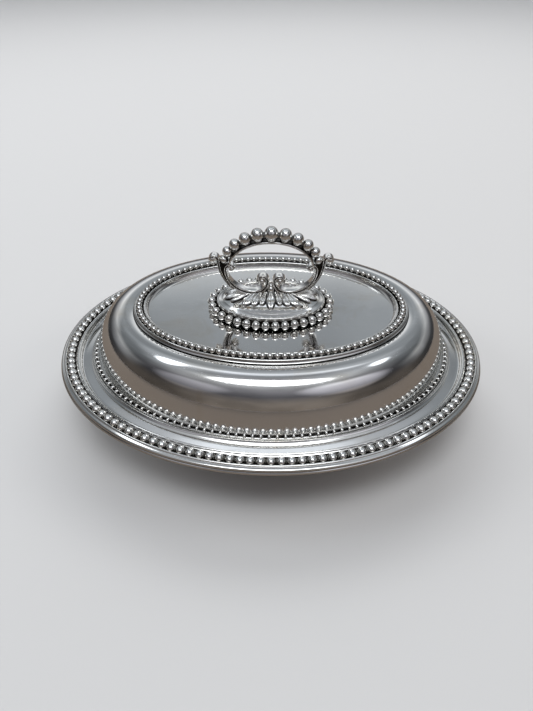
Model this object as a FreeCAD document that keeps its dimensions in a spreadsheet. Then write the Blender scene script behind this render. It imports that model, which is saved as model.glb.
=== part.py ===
import FreeCAD, Part
import math
import os
import Sketcher

# Oval silver-plated entree dish with a domed lid and a quarter-turn handle.
# Millimetres, +Z up, long axis along X, origin at the centre of the flat base.
#
# Every ring of the dish and the lid is an oval of one family: its short semi-axis is oval_offset less than its
# long one, so the rings lie at even distances from each other. A ring is named by its long semi-axis.

Vector = FreeCAD.Vector
Rotation = FreeCAD.Rotation

doc = FreeCAD.newDocument("entree_dish")

# ---------------------------------------------------------------------------------------------------------
# Driving dimensions
# ---------------------------------------------------------------------------------------------------------

SIZES = (
    ("oval_offset", 32.5, "long semi-axis less short semi-axis, dish and lid"),
    ("sheet", 1.2, "thickness of the spun and pressed sheet"),
    ("clearance", 0.3, "gap between pieces that move apart"),
    # dish
    ("base_long", 97.0, "edge of the flat base"),
    ("base_round", 12.0, "radius between base and wall"),
    ("wall_lean", 14.0, "lean of the wall from upright, degrees"),
    ("wall_top", 35.5, "height where the wall turns into the flange"),
    ("flange_height", 39.6, "flange top under the lid"),
    ("flange_start", 117.5, "inner edge of the level flange"),
    ("flange_knee", 125.0, "where the flange starts to rise to the border"),
    ("border_start", 132.0, "inner edge of the struck border"),
    ("border_height", 42.0, "sheet top under the border"),
    ("sheet_edge", 142.0, "edge of the flange sheet"),
    ("strip_floor", 0.7, "thickness of the border strip under the beads"),
    ("strip_wire", 0.5, "radius of the strip's inner and outer wires"),
    ("rim_long", 145.0, "outer edge of the dish"),
    ("rim_reed", 1.75, "radius of the main edge reed"),
    ("rim_reed_small", 1.0, "radius of the upper edge reed"),
    ("rim_bead_row", 138.5, "centre line of the large beads"),
    ("rim_bead", 2.45, "radius of the large beads"),
    ("rim_bead_height", 43.4, "centre height of the large beads"),
    ("rim_bead_count", 132, "large beads"),
    # lid
    ("foot_long", 124.6, "outer edge of the lid's foot"),
    ("foot_inner", 118.2, "inner face of the lid's foot"),
    ("foot_top", 43.4, "top of the foot, where the dome starts"),
    ("foot_lip", 0.45, "radius of the foot's rolled lip"),
    ("foot_cove", 6.0, "radius of the foot's cove"),
    ("foot_wire", 0.7, "radius of the foot's wire"),
    ("foot_bead_row", 119.9, "centre line of the small beads"),
    ("foot_bead", 1.35, "radius of the small beads"),
    ("foot_bead_height", 44.6, "centre height of the small beads"),
    ("foot_bead_count", 138, "small beads"),
    ("dome_centre", 96.5, "long semi-axis at the crest of the dome"),
    ("dome_reach", 23.0, "width of the dome's quarter round"),
    ("dome_low", 46.5, "height of the dome's widest ring"),
    ("dome_rise", 27.7, "height of the dome's quarter round"),
    ("panel_long", 90.6, "edge of the flat panel's sheet"),
    ("panel_height", 73.0, "top of the flat panel"),
    ("collar_long", 112.7, "outer face of the locating collar"),
    ("collar_low", 34.0, "lower edge of the locating collar"),
    ("top_border_in", 81.3, "inner edge of the top border"),
    ("top_border_out", 91.4, "outer edge of the top border"),
    ("top_floor", 75.5, "top border under its beads"),
    ("top_wire", 0.75, "radius of the top border's wires"),
    ("top_cavetto", 2.0, "radius of the top border's outer hollow"),
    ("top_cove", 6.0, "radius of the top border's inner hollow"),
    ("top_bead_row", 87.1, "centre line of the top beads"),
    ("top_bead", 1.95, "radius of the top beads"),
    ("top_bead_height", 76.8, "centre height of the top beads"),
    ("top_bead_count", 104, "top beads"),
    # handle foot
    ("plate_long", 34.8, "handle foot: long semi-axis of the domed plate"),
    ("plate_short", 21.6, "handle foot: short semi-axis of the domed plate"),
    ("plate_low", 79.5, "height of the plate's edge"),
    ("plate_rise", 4.3, "rise of the plate's dome"),
    ("skirt_low", 75.2, "underside of the handle foot"),
    ("skirt_ledge", 1.1, "thickness of the ledge under the foot's beads"),
    ("grip_bead_row", 38.9, "long semi-axis of the foot's bead row"),
    ("grip_bead_short", 25.9, "short semi-axis of the foot's bead row"),
    ("grip_bead", 2.65, "radius of the foot's beads"),
    ("grip_bead_height", 77.5, "centre height of the foot's beads"),
    ("grip_bead_count", 34, "beads round the foot"),
    ("boss", 7.5, "radius of the boss that stands on the panel"),
    ("saddle_long", 13.0, "half length of the saddle under the scroll arms"),
    ("saddle_short", 2.6, "half width of that saddle"),
    # handle loop
    ("scroll_width", 5.2, "width of the scroll arms"),
    ("strand", 1.35, "half thickness of a scroll strand"),
    ("arch_centre", 92.1, "height of the centre of the grip's arch"),
    ("arch_in", 30.6, "inner radius of the arch"),
    ("arch_out", 32.2, "outer radius of the arch"),
    ("arch_width", 6.0, "width of the arch"),
    ("web", 2.0, "thickness of the web between the strands of an arm"),
    # lock
    ("stud", 4.6, "radius of the stud"),
    ("spigot", 2.6, "radius of the stud's ends"),
    ("hole", 5.2, "radius of the hole for the stud"),
    ("bar_half", 12.0, "half length of the lock bar"),
    ("bar_width", 8.0, "width of the lock bar"),
    ("bar_thick", 3.0, "thickness of the lock bar"),
    ("slot_half", 13.0, "half length of the key slot"),
    ("slot_width", 9.4, "width of the key slot"),
    ("socket", 20.0, "radius of the socket plate"),
    ("socket_thick", 2.0, "thickness of the socket plate"),
    ("bar_drop", 0.5, "gap between socket plate and lock bar"),
    ("stop_pin", 1.5, "radius of the stop pins"),
    ("stop_reach", 9.5, "distance of the stop pins along the bar"),
)

sheet = doc.addObject("Spreadsheet::Sheet", "Sizes")
for row, (alias, value, meaning) in enumerate(SIZES, start=1):
    sheet.set(f"A{row}", meaning)
    sheet.set(f"B{row}", str(value))
    sheet.setAlias(f"B{row}", alias)
doc.recompute()


def size(alias):
    """The value of one driving dimension."""
    return float(sheet.get(alias))


def bound(text):
    """An expression in terms of the sheet: each alias in the text gets the sheet's name in front."""
    words = []
    for word in text.replace("(", " ( ").replace(")", " ) ").split():
        words.append(f"Sizes.{word}" if word in ALIASES else word)
    return " ".join(words)


def number_of(text):
    """The number that such an expression has at the sheet's present values."""
    return float(sheet.evalExpression(bound(text).replace("Sizes.", "")))


ALIASES = {alias for alias, _, _ in SIZES}
subparts = []


def subpart(thing, label):
    """Give a finished piece its name and put it on the list of pieces to write."""
    thing.Label = label
    subparts.append(thing)
    return thing


# ---------------------------------------------------------------------------------------------------------
# Building blocks
# ---------------------------------------------------------------------------------------------------------

def ellipse(name, long_text, short_text, height_text):
    """A level ellipse bound to the sheet."""
    thing = doc.addObject("Part::Ellipse", name)
    thing.MajorRadius = 1000.0
    thing.setExpression("MinorRadius", bound(short_text))
    thing.setExpression("MajorRadius", bound(long_text))
    thing.setExpression("Placement.Base.z", bound(height_text))
    return thing


def oval(name, long_text, height_text):
    """A ring of the dish's own family of ovals."""
    return ellipse(name, long_text, f"{long_text} - oval_offset", height_text)


def loft(name, sections):
    """A solid through level sections, listed from one cap to the other."""
    thing = doc.addObject("Part::Loft", name)
    thing.Sections = sections
    thing.Solid = True
    thing.Ruled = True
    return thing


def oval_solid(name, rings):
    """A solid through rings of the dish's family, each given as long semi-axis and height."""
    sections = [oval(f"{name}_{k}", long_text, height) for k, (long_text, height) in enumerate(rings)]
    return loft(name, sections)


def cut(name, base, tool):
    thing = doc.addObject("Part::Cut", name)
    thing.Base = base
    thing.Tool = tool
    return thing


def common(name, base, tool):
    thing = doc.addObject("Part::Common", name)
    thing.Base = base
    thing.Tool = tool
    return thing


def fuse(name, shapes):
    thing = doc.addObject("Part::MultiFuse", name)
    thing.Shapes = shapes
    return thing


def bulged(start, end, radius, side):
    """An arc from start to end that bulges to the right of the way there (side 1) or to the left (side -1)."""
    run = end - start
    half = run.Length / 2
    across = Vector(run.y, -run.x, 0).normalize() * side
    centre = (start + end) * 0.5 - across * math.sqrt(radius * radius - half * half)
    circle = Part.Circle(centre, Vector(0, 0, 1), radius)
    angles = [math.atan2(point.y - centre.y, point.x - centre.x) for point in (start, end)]
    if side < 0:
        angles.reverse()
    return Part.ArcOfCircle(circle, angles[0], angles[1])


def profile(name, corners):
    """A closed sketch in the XZ plane whose corners are bound to the sheet.

    A corner is listed as across, up and, where an arc leads to the next corner, the arc's radius and side.
    """
    sketch = doc.addObject("Sketcher::SketchObject", name)
    sketch.Placement = FreeCAD.Placement(Vector(0, 0, 0), Rotation(Vector(1, 0, 0), 90))
    outline(sketch, corners)
    return sketch


def outline(sketch, corners):
    """Draw the closed outline and bind each corner and radius."""
    points = [Vector(number_of(corner[0]), number_of(corner[1]), 0) for corner in corners]
    count = len(points)
    starts = []
    for k, corner in enumerate(corners):
        end = points[(k + 1) % count]
        if len(corner) == 2:
            sketch.addGeometry(Part.LineSegment(points[k], end), False)
            starts.append((1, 2))
        else:
            radius_text, side = corner[2:]
            sketch.addGeometry(bulged(points[k], end, number_of(radius_text), side), False)
            starts.append((1, 2) if side > 0 else (2, 1))
    for k in range(count):
        after = (k + 1) % count
        sketch.addConstraint(Sketcher.Constraint("Coincident", k, starts[k][1], after, starts[after][0]))
    for k, corner in enumerate(corners):
        for kind, text, value in (("DistanceX", corner[0], points[k].x), ("DistanceY", corner[1], points[k].y)):
            if text == "0":
                sketch.addConstraint(Sketcher.Constraint("PointOnObject", k, starts[k][0], -2))
                continue
            index = sketch.addConstraint(Sketcher.Constraint(kind, -1, 1, k, starts[k][0], value))
            sketch.setExpression(f"Constraints[{index}]", bound(text))
        if len(corner) > 2:
            index = sketch.addConstraint(Sketcher.Constraint("Radius", k, number_of(corner[2])))
            sketch.setExpression(f"Constraints[{index}]", bound(corner[2]))


def swept(name, section, long_text, height_text):
    """A moulding: a section carried once round a ring."""
    thing = doc.addObject("Part::Sweep", name)
    thing.Sections = [section]
    thing.Spine = (oval(f"{name}_path", long_text, height_text), ["Edge1"])
    thing.Solid = True
    thing.Frenet = True
    return thing


def moulding(name, corners):
    """A solid ring with the listed section."""
    return swept(name, profile(f"{name}_section", corners), corners[0][0], corners[0][1])


def feature(label, shape):
    """A piece whose shape comes straight from the sheet's values."""
    thing = doc.addObject("Part::Feature", label)
    thing.Shape = shape
    thing.Placement = FreeCAD.Placement(Vector(0, 0, 0), Rotation())
    return subpart(thing, label)


def bead_row(label, long_axis, short_axis, height, radius, seat, count, first=1, backing=None):
    """Beads at even spacing round an ellipse, each cut flat on its seat and cut back to what it leans on.

    The first bead lies on the long axis (first 0) or half a space past it (first 1).
    """
    path = Part.Ellipse(Vector(0, 0, height), long_axis, short_axis).toShape()
    points = path.discretize(Number=2 * count + 1)
    low_angle = -math.degrees(math.asin((height - seat) / radius))
    beads = []
    for centre in points[first:-1:2]:
        beads.append(Part.makeSphere(radius, centre, Vector(0, 0, 1), low_angle, 90, 360))
    row = Part.makeCompound(beads)
    return feature(label, row.cut(backing.Shape) if backing else row)


# ---------------------------------------------------------------------------------------------------------
# Dish
# ---------------------------------------------------------------------------------------------------------

ROUND_STEPS = 6
UPRIGHT = 90


def dish_rings(inset):
    """Rings from base to flange, on the outside of the sheet (inset 0) or inset towards the inside."""
    rings = []
    lean = size("wall_lean")
    for k in range(ROUND_STEPS + 1):
        angle = (UPRIGHT - lean) * k / ROUND_STEPS
        across = f"base_long + ( base_round - {inset} ) * {math.sin(math.radians(angle))}"
        up = f"base_round - ( base_round - {inset} ) * {math.cos(math.radians(angle))}"
        rings.append((across, up))
    slope = math.tan(math.radians(lean))
    corner_across, corner_up = rings[-1]
    rings.append((f"{corner_across} + ( wall_top - ( {corner_up} ) ) * {slope}", "wall_top"))
    return rings


def make_dish():
    """One raised sheet, kept as two pieces: the bowl, and the flange that leaves it at the lid's seat."""
    outside = oval_solid("dish_outside", dish_rings("0") + [
        ("flange_start + sheet", "flange_height - sheet"),
        ("flange_knee", "flange_height - sheet + 0.01"),
        ("border_start", "border_height - sheet"),
        ("sheet_edge", "border_height - sheet + 0.01"),
        ("sheet_edge", "border_height"),
    ])
    inside = oval_solid("dish_inside", dish_rings("sheet") + [
        ("flange_start", "flange_height"),
        ("flange_knee", "flange_height + 0.01"),
        ("border_start", "border_height"),
        ("border_start + 2", "border_height + 0.7"),
    ])
    dish_sheet = cut("dish_sheet", outside, inside)
    divider = oval_solid("dish_divider", [
        ("flange_start + sheet * 0.5", "-1"),
        ("flange_start + sheet * 0.5", "border_height + 5"),
    ])
    subpart(common("dish_inner", dish_sheet, divider), "dish_bowl")
    subpart(cut("dish_outer", dish_sheet, divider), "dish_flange")


def make_dish_border():
    """Struck strip: a low wire on each side of a plain floor, with the beads between."""
    floor = "border_height + strip_floor"
    subpart(moulding("strip", [
        ("border_start", "border_height"),
        ("sheet_edge", "border_height"),
        ("sheet_edge", floor, "strip_wire * 1.02", 1),
        ("sheet_edge - strip_wire * 2", floor),
        ("border_start + strip_wire * 2", floor, "strip_wire * 1.02", 1),
        ("border_start", floor),
    ]), "dish_border_strip")
    bead_row("dish_border_beads", size("rim_bead_row"), size("rim_bead_row") - size("oval_offset"),
             size("rim_bead_height"), size("rim_bead"), size("border_height") + size("strip_floor"),
             int(size("rim_bead_count")))


def make_dish_edge():
    """Thick edge moulding soldered round the sheet: a main reed with a smaller one above it."""
    low = "border_height - 1.1 - rim_reed"
    subpart(moulding("edge", [
        ("sheet_edge", f"{low} + 0.2"),
        ("rim_long - rim_reed", low, "rim_reed", 1),
        ("rim_long - rim_reed * 0.75", f"{low} + rim_reed * 1.96", "rim_reed_small", 1),
        ("sheet_edge", "border_height + strip_floor + 0.5"),
    ]), "dish_edge_wire")


# ---------------------------------------------------------------------------------------------------------
# Lid
# ---------------------------------------------------------------------------------------------------------

DOME_STEPS = 14
DOME_START = -6.4
DOME_END = 103.0


def dome_rings(inset):
    """Rings of the dome's quarter round, from the foot over the crest to the panel."""
    rings = []
    for k in range(DOME_STEPS + 1):
        angle = math.radians(DOME_START + (DOME_END - DOME_START) * k / DOME_STEPS)
        across = f"dome_centre + ( dome_reach - {inset} ) * {math.cos(angle)}"
        up = f"dome_low + ( dome_rise - {inset} ) * {math.sin(angle)}"
        rings.append((across, up))
    return rings


def key_cutter(name, low_text, high_text):
    """A round hole with the slot that lets the lock bar through."""
    round_hole = doc.addObject("Part::Cylinder", f"{name}_hole")
    round_hole.setExpression("Radius", bound("hole"))
    round_hole.setExpression("Height", bound(f"{high_text} - ( {low_text} )"))
    round_hole.setExpression("Placement.Base.z", bound(low_text))
    slot = doc.addObject("Part::Box", f"{name}_slot")
    slot.setExpression("Length", bound("slot_half * 2"))
    slot.setExpression("Width", bound("slot_width"))
    slot.setExpression("Height", bound(f"{high_text} - ( {low_text} )"))
    slot.setExpression("Placement.Base.x", bound("slot_half * -1"))
    slot.setExpression("Placement.Base.y", bound("slot_width * -0.5"))
    slot.setExpression("Placement.Base.z", bound(low_text))
    return fuse(name, [round_hole, slot])


def make_lid_shell():
    """One raised sheet, kept as two pieces that meet under the top border: the dome and the pierced panel."""
    outside = oval_solid("lid_outside", dome_rings("0") + [("panel_long", "panel_height")])
    inside = oval_solid("lid_inside", [("dome_centre + dome_reach - sheet - 0.3", "dome_low - 5")]
                        + dome_rings("sheet") + [("panel_long - 0.5", "panel_height - sheet")])
    lid_sheet = cut("lid_sheet", outside, inside)
    divider = oval_solid("lid_divider", [
        ("top_border_in + 4", "dome_low"),
        ("top_border_in + 4", "panel_height + 5"),
    ])
    subpart(cut("lid_outer", lid_sheet, divider), "lid_dome")
    panel = common("lid_inner", lid_sheet, divider)
    subpart(cut("lid_pierced", panel, key_cutter("lid_key", "panel_height - 5", "panel_height + 5")), "lid_panel")
    return outside


def make_lid_foot():
    """Flared foot: rolled lip, cove, then a step and a wire under the small beads."""
    low = "flange_height + clearance"
    subpart(moulding("foot", [
        ("foot_inner", low),
        ("foot_long - foot_lip", low, "foot_lip * 1.02", 1),
        ("foot_long - foot_lip", f"{low} + foot_lip * 2", "foot_cove", -1),
        ("foot_long - 2.9", "foot_top - 0.9"),
        ("foot_long - 3.2", "foot_top - 0.6", "foot_wire", 1),
        ("foot_long - 4", "foot_top"),
        ("foot_inner", "foot_top"),
    ]), "lid_foot_band")


def make_lid_foot_beads(dome):
    """Small beads that stand on the lid's foot and lean against the dome."""
    bead_row("lid_foot_beads", size("foot_bead_row"), size("foot_bead_row") - size("oval_offset"),
             size("foot_bead_height"), size("foot_bead"), size("foot_top"), int(size("foot_bead_count")),
             backing=dome)


def make_lid_collar():
    """L-section ring that drops into the dish's mouth and centres the lid."""
    subpart(moulding("collar", [
        ("collar_long", "collar_low"),
        ("collar_long", "foot_top - 2.2"),
        ("foot_inner", "foot_top - 2.2"),
        ("foot_inner", "foot_top - 1"),
        ("collar_long - sheet", "foot_top - 1"),
        ("collar_long - sheet", "collar_low"),
    ]), "lid_locating_collar")


def make_top_border():
    subpart(moulding("top", [
        ("top_border_in", "panel_height"),
        ("panel_long - 0.2", "panel_height"),
        ("top_border_out", "panel_height + 1.2", "top_cavetto", -1),
        ("top_border_out - 1.2", "top_floor - 0.2", "top_wire", 1),
        ("top_border_out - 2.4", "top_floor"),
        ("top_border_in + 2.9", "top_floor", "top_wire * 1.3", 1),
        ("top_border_in + 1.1", "top_floor + 0.3", "top_cove", -1),
    ]), "lid_top_border")
    bead_row("lid_top_beads", size("top_bead_row"), size("top_bead_row") - size("oval_offset"),
             size("top_bead_height"), size("top_bead"), size("top_floor"), int(size("top_bead_count")))


# ---------------------------------------------------------------------------------------------------------
# Lock: socket plate, stop pins, stud and cross bar
# ---------------------------------------------------------------------------------------------------------

def plane_of(body, role):
    return next(item for item in body.Origin.OriginFeatures if item.Role == role)


def new_body(name, label):
    body = doc.addObject("PartDesign::Body", name)
    subpart(body, label)
    return body


def flat_sketch(body, name, role, offset_text):
    """A sketch on one of the body's own planes, moved along its normal by a bound distance."""
    sketch = body.newObject("Sketcher::SketchObject", name)
    sketch.AttachmentSupport = [(plane_of(body, role), "")]
    sketch.MapMode = "FlatFace"
    sketch.setExpression("AttachmentOffset.Base.z", bound(offset_text))
    return sketch


def add_circle(sketch, radius_text):
    index = sketch.addGeometry(Part.Circle(Vector(0, 0, 0), Vector(0, 0, 1), number_of(radius_text)), False)
    sketch.addConstraint(Sketcher.Constraint("Coincident", index, 3, -1, 1))
    constraint = sketch.addConstraint(Sketcher.Constraint("Radius", index, number_of(radius_text)))
    sketch.setExpression(f"Constraints[{constraint}]", bound(radius_text))


def add_centred_rectangle(sketch, half_long_text, half_short_text):
    """A rectangle centred on the sketch's origin, from its two half sizes."""
    wide, tall = number_of(half_long_text), number_of(half_short_text)
    corners = [Vector(-wide, -tall, 0), Vector(wide, -tall, 0), Vector(wide, tall, 0), Vector(-wide, tall, 0)]
    first = sketch.GeometryCount
    for k in range(4):
        sketch.addGeometry(Part.LineSegment(corners[k], corners[(k + 1) % 4]), False)
    for k in range(4):
        sketch.addConstraint(Sketcher.Constraint("Coincident", first + k, 2, first + (k + 1) % 4, 1))
    for k, kind in enumerate(("Horizontal", "Vertical", "Horizontal", "Vertical")):
        sketch.addConstraint(Sketcher.Constraint(kind, first + k))
    for kind, text, value in (("DistanceX", half_long_text, wide), ("DistanceY", half_short_text, tall)):
        constraint = sketch.addConstraint(Sketcher.Constraint(kind, -1, 1, first + 1, 2, value))
        sketch.setExpression(f"Constraints[{constraint}]", bound(text))
    sketch.addConstraint(Sketcher.Constraint("Symmetric", first, 1, first + 1, 2, -1, 1))


def pad(body, name, sketch, length_text):
    thing = body.newObject("PartDesign::Pad", name)
    thing.Profile = sketch
    thing.setExpression("Length", bound(length_text))
    return thing


def pocket_through(body, name, sketch):
    """Cut a sketch right through the body, and check that something was cut."""
    doc.recompute()
    before = body.Shape.Volume
    thing = body.newObject("PartDesign::Pocket", name)
    thing.Profile = sketch
    thing.Type = "ThroughAll"
    thing.Midplane = True
    doc.recompute()
    if body.Shape.Volume >= before:
        raise RuntimeError(f"{name} cut nothing")
    return thing


SOCKET_LOW = "panel_height - sheet - socket_thick"
BAR_TOP = f"{SOCKET_LOW} - bar_drop"
BAR_LOW = f"{BAR_TOP} - bar_thick"
HEAD = 1.4


def make_socket_plate():
    body = new_body("SocketPlate", "lid_socket_plate")
    disc = flat_sketch(body, "socket_disc", "XY_Plane", SOCKET_LOW)
    add_circle(disc, "socket")
    pad(body, "socket_pad", disc, "socket_thick")
    for name in ("socket_hole", "socket_slot"):
        opening = flat_sketch(body, name, "XY_Plane", SOCKET_LOW)
        if name == "socket_hole":
            add_circle(opening, "hole")
        else:
            add_centred_rectangle(opening, "slot_half", "slot_width * 0.5")
        pocket_through(body, f"{name}_cut", opening)


def make_stop_pins():
    """Two pins under the socket plate: one stops the bar when locked, the other when it can lift out."""
    pins = []
    side = "bar_width * 0.5 + stop_pin + clearance"
    places = (("stop_locked", side, "stop_reach"), ("stop_free", "stop_reach * -1", f"( {side} ) * -1"))
    for name, across, along in places:
        pin = doc.addObject("Part::Cylinder", name)
        pin.setExpression("Radius", bound("stop_pin"))
        pin.setExpression("Height", bound("bar_drop + bar_thick"))
        pin.setExpression("Placement.Base.x", bound(across))
        pin.setExpression("Placement.Base.y", bound(along))
        pin.setExpression("Placement.Base.z", bound(BAR_LOW))
        pins.append(pin)
    group = doc.addObject("Part::Compound", "stop_pins")
    group.Links = pins
    subpart(group, "lid_stop_pins")


def make_stud():
    """Turned stud: upper spigot in the foot's boss, plain shank, lower spigot and riveted head."""
    body = new_body("Stud", "handle_stud")
    sketch = flat_sketch(body, "stud_section", "XZ_Plane", "0")
    top = "panel_height + clearance"
    corners = [
        ("0", f"{BAR_LOW} - {HEAD}"),
        ("spigot + 1.2", f"{BAR_LOW} - {HEAD}"),
        ("spigot + 1.2", BAR_LOW),
        ("spigot", BAR_LOW),
        ("spigot", BAR_TOP),
        ("stud", BAR_TOP),
        ("stud", top),
        ("spigot", top),
        ("spigot", f"{top} + 5"),
        ("0", f"{top} + 5"),
    ]
    outline(sketch, corners)
    turned = body.newObject("PartDesign::Revolution", "stud_turned")
    turned.Profile = sketch
    turned.ReferenceAxis = (sketch, ["V_Axis"])
    turned.Angle = 360


def make_lock_bar():
    body = new_body("LockBar", "handle_lock_bar")
    outline = flat_sketch(body, "bar_outline", "XY_Plane", BAR_LOW)
    add_centred_rectangle(outline, "bar_width * 0.5", "bar_half")
    pad(body, "bar_pad", outline, "bar_thick")
    opening = flat_sketch(body, "bar_hole", "XY_Plane", BAR_LOW)
    add_circle(opening, "spigot")
    pocket_through(body, "bar_hole_cut", opening)


# ---------------------------------------------------------------------------------------------------------
# Handle loop: two scroll arms and the arch between them
# ---------------------------------------------------------------------------------------------------------

# Each strand of a left-hand scroll arm is a run of tangent arcs in the XZ plane:
# centre across and up, radius, and the angles where the arc starts and ends, counted from +X towards +Z.
SCROLL_ARCS = (
    ("curl_low", -5.8, 94.4, 3.0, 0, 190),
    ("sweep_low", -11.4, 94.4, 8.6, 270, 360),
    ("sweep_side", -11.4, 103.3, 17.5, 180, 270),
    ("curl_high", -25.9, 103.3, 3.0, 0, 180),
)
BRANCH_ARCS = (
    ("branch", -3.6, 109.6, 30.0, 180, 219),
    ("branch_tip", -35.6, 109.6, 2.0, 0, 180),
)
# Round terminals at the ends of the curls: across, up, radius.
TERMINALS = (
    ("knob_low", -6.4, 94.1, 1.7),
    ("knob_high", -24.6, 104.0, 1.9),
    ("knob_tip", -36.6, 110.0, 2.2),
)
ARCH_HALF_ANGLE = 62
# Graduated beads: angle from the top of the arch, radius, and distance from the arch's centre.
ARCH_BEADS = (
    (0, 4.2, 35.3),
    (14.0, 3.95, 35.3),
    (27.3, 3.7, 35.3),
    (39.4, 3.4, 35.4),
    (50.4, 3.1, 35.3),
    (60.3, 2.1, 34.0),
)


def arc_band(name, across, up, in_text, out_text, width_text, start, end):
    """A band bent to an arc in the XZ plane, centred on Y = 0."""
    rings = []
    for part, radius in (("out", out_text), ("in", in_text)):
        ring = doc.addObject("Part::Cylinder", f"{name}_{part}")
        ring.Angle = end - start
        turn = Rotation(Vector(1, 0, 0), 90).multiply(Rotation(Vector(0, 0, 1), start))
        ring.Placement = FreeCAD.Placement(Vector(0, 0, 0), turn)
        ring.setExpression("Radius", bound(radius))
        ring.setExpression("Height", bound(width_text))
        ring.setExpression("Placement.Base.x", bound(across))
        ring.setExpression("Placement.Base.y", bound(f"( {width_text} ) * 0.5"))
        ring.setExpression("Placement.Base.z", bound(up))
        rings.append(ring)
    return cut(name, rings[0], rings[1])


def knob(name, across, up, radius):
    """A round terminal lying across the strand."""
    thing = doc.addObject("Part::Cylinder", name)
    thing.Radius = radius
    thing.Placement = FreeCAD.Placement(Vector(across, 0, up), Rotation(Vector(1, 0, 0), 90))
    thing.setExpression("Height", bound("scroll_width + 0.6"))
    thing.setExpression("Placement.Base.y", bound("scroll_width * 0.5 + 0.3"))
    return thing


def make_web():
    """The thin web that fills the space between an arm's main strand and its branch."""
    _, across, up, radius, _, _ = SCROLL_ARCS[2]
    band = arc_band("web_band", str(across), str(up), f"{radius} + strand * 0.5", f"{radius} + 6", "web", 168, 222)
    _, across, up, radius, _, _ = BRANCH_ARCS[0]
    limit = doc.addObject("Part::Cylinder", "web_limit")
    limit.Radius = radius
    limit.Placement = FreeCAD.Placement(Vector(across, 0, up), Rotation(Vector(1, 0, 0), 90))
    limit.setExpression("Height", bound("web"))
    limit.setExpression("Placement.Base.y", bound("web * 0.5"))
    return common("web_plate", band, limit)


def make_scrolls():
    """The left arm from its strands, web and terminals, and the right arm as its mirror image."""
    strands = [make_web()]
    for arcs, width in ((SCROLL_ARCS, "scroll_width"), (BRANCH_ARCS, "scroll_width - 0.6")):
        for name, across, up, radius, start, end in arcs:
            strands.append(arc_band(name, str(across), str(up), f"{radius} - strand", f"{radius} + strand",
                                    width, start, end))
    knobs = [knob(*terminal) for terminal in TERMINALS]
    left = subpart(fuse("scroll", strands + knobs), "handle_scroll_left")
    right = doc.addObject("Part::Mirroring", "scroll_mirror")
    right.Source = left
    right.Normal = Vector(1, 0, 0)
    right.Base = Vector(0, 0, 0)
    subpart(right, "handle_scroll_right")
    return left, right


def make_arch(scrolls):
    band = arc_band("arch_band", "0", "arch_centre", "arch_in", "arch_out", "arch_width",
                    90 - ARCH_HALF_ANGLE, 90 + ARCH_HALF_ANGLE)
    subpart(cut("arch", band, fuse("arch_ends", list(scrolls))), "handle_arch")


def make_arch_beads(scrolls):
    """Graduated beads along the arch, largest at the top, each seated on the band."""
    centre = Vector(0, 0, size("arch_centre"))
    seat = Part.makeCylinder(size("arch_out"), size("arch_width") * 2, centre + Vector(0, size("arch_width"), 0),
                             Vector(0, -1, 0))
    beads = []
    for angle, radius, reach in ARCH_BEADS:
        for side in ((1,) if angle == 0 else (-1, 1)):
            turn = math.radians(angle) * side
            offset = Vector(math.sin(turn), 0, math.cos(turn)) * reach
            bead = Part.makeSphere(radius, centre + offset).cut(seat)
            for scroll in scrolls:
                bead = bead.cut(scroll.Shape)
            beads.append(bead)
    return feature("handle_arch_beads", Part.makeCompound(beads))


# ---------------------------------------------------------------------------------------------------------
# Handle foot: domed plate, beads and acanthus leaves
# ---------------------------------------------------------------------------------------------------------

PLATE_STEPS = (1.0, 0.88, 0.74, 0.58, 0.42, 0.26)
# Leaf lobes that radiate from under the loop: tip across, tip along, width and thickness of the lobe.
FRONT_LOBES = ((0, 15.8, 5.0, 2.8), (6.2, 13.2, 4.6, 2.6), (11.2, 12.6, 4.6, 2.4), (16.2, 11.8, 4.4, 2.2),
               (26.0, 6.6, 4.2, 2.0))
SIDE_LOBES = ((31.0, 0, 4.4, 2.0),)
LEAF_ROOT = 2.5
# The raised root that the front lobes spring from: distance from the centre, and half sizes of its round.
FRONT_ROOT = (4.2, 12.0, 3.4, 2.6)


def plate_height(across, along):
    """Height of the domed plate's surface above one point."""
    reach = (across / size("plate_long")) ** 2 + (along / size("plate_short")) ** 2
    return size("plate_low") + size("plate_rise") * max(0.0, 1 - reach)


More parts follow.
